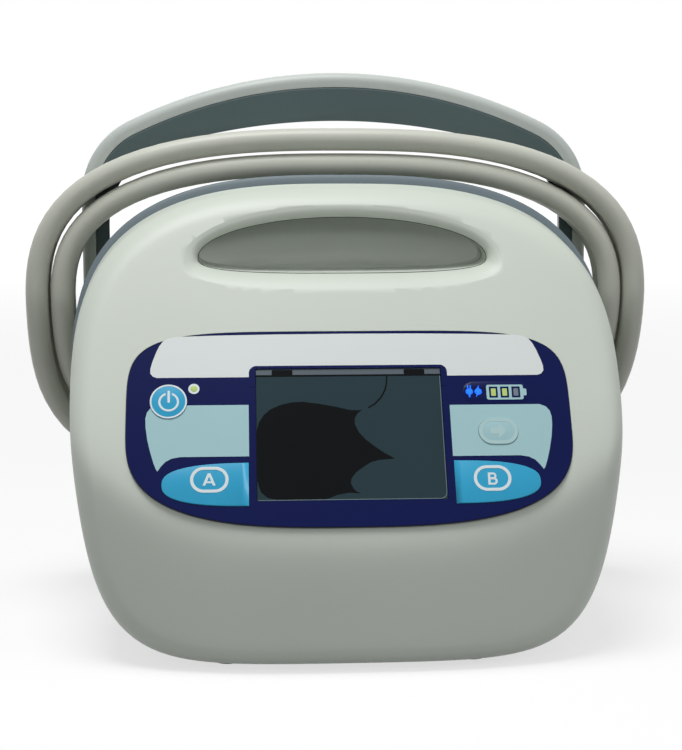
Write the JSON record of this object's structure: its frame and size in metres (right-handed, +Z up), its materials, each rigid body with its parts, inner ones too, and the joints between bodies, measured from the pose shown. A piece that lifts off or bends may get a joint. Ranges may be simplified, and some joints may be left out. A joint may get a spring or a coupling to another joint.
{
  "type": "compression therapy pump",
  "caption": "Wedge-shaped bedside air pump for compression sleeves with a leaning key panel, colour display, through handle, swinging bed hook and wound mains lead",
  "frame": {"origin": "middle of the housing on the table, under its feet", "axes": "X to the right seen from the front, the key panel faces -Y, Z up"},
  "size_m": [0.2339, 0.1739, 0.202],
  "materials": {
    "white_housing": "satin moulded",
    "grey_band": "soft touch",
    "navy_overlay": "printed film",
    "display_glass": "polished window",
    "lcd_frame": "moulded",
    "blue_key": "printed key",
    "pale_key": "printed key",
    "led_green": "diffusing lens",
    "led_blue": "diffusing lens",
    "silicone": "moulded",
    "board": "solder mask",
    "steel": "plated",
    "motor_can": "satin",
    "black_plastic": "moulded",
    "black_rubber": "moulded",
    "natural_plastic": "moulded",
    "coil": "moulded",
    "clear_tube": "silicone tube",
    "battery_wrap": "shrink wrap",
    "light_grey": "satin moulded",
    "dark_grey": "soft touch",
    "cord_grey": "vinyl jacket",
    "plug_grey": "moulded vinyl"
  },
  "bodies": {
    "housing": {"front_shell": "white_housing", "grip_band": "grey_band", "rear_housing": "white_housing", "panel_overlay": "navy_overlay", "display_window": "display_glass", "lcd_module": "lcd_frame", "status_led": "led_green", "battery_leds": "led_green", "mains_leds": "led_blue", "key_domes": "silicone", "ui_board": "board", "main_board": "board", "board_standoffs": "steel", "board_screws": "steel", "compressor_motor": "motor_can", "compressor_head": "black_plastic", "rubber_mounts": "black_rubber", "valve_manifold": "natural_plastic", "solenoid_valves": "coil", "pressure_sensor": "black_plastic", "air_tube": "clear_tube", "power_supply": "board", "supply_screws": "steel", "battery_pack": "battery_wrap", "battery_door": "light_grey", "door_screw": "steel", "speaker": "black_plastic", "port_a": "light_grey", "port_b": "light_grey", "rubber_feet": "black_rubber", "case_screws": "steel", "hook_pins": "steel", "hook_washers": "black_plastic", "strain_relief": "cord_grey", "cord_lead": "cord_grey", "cord_winding": "cord_grey", "cord_tail": "cord_grey", "plug_body": "plug_grey", "plug_blades": "steel"},
    "power_key": {"power_button": "blue_key"},
    "a_key": {"a_button": "blue_key"},
    "b_key": {"b_button": "blue_key"},
    "next_key": {"next_button": "pale_key"},
    "hook_frame": {"hook": "light_grey", "hook_pad": "dark_grey"}
  },
  "joints": [
    {"name": "hook_swing", "type": "hinge", "parent": "housing", "child": "hook_frame", "pos_m": [0, 0.0486, 0.11], "axis": [1, 0, 0], "range_deg": [-90, 0]},
    {"name": "power_press", "type": "slide", "parent": "housing", "child": "power_key", "axis": [0, 0.8387, -0.5446], "range_m": [0, 0.0006], "stiffness_N_per_m": 1500, "springref_m": -0.0004},
    {"name": "a_press", "type": "slide", "parent": "housing", "child": "a_key", "axis": [0, 0.8387, -0.5446], "range_m": [0, 0.0006], "stiffness_N_per_m": 1500, "springref_m": -0.0004},
    {"name": "b_press", "type": "slide", "parent": "housing", "child": "b_key", "axis": [0, 0.8387, -0.5446], "range_m": [0, 0.0006], "stiffness_N_per_m": 1500, "springref_m": -0.0004},
    {"name": "next_press", "type": "slide", "parent": "housing", "child": "next_key", "axis": [0, 0.8387, -0.5446], "range_m": [0, 0.0006], "stiffness_N_per_m": 1500, "springref_m": -0.0004}
  ]
}
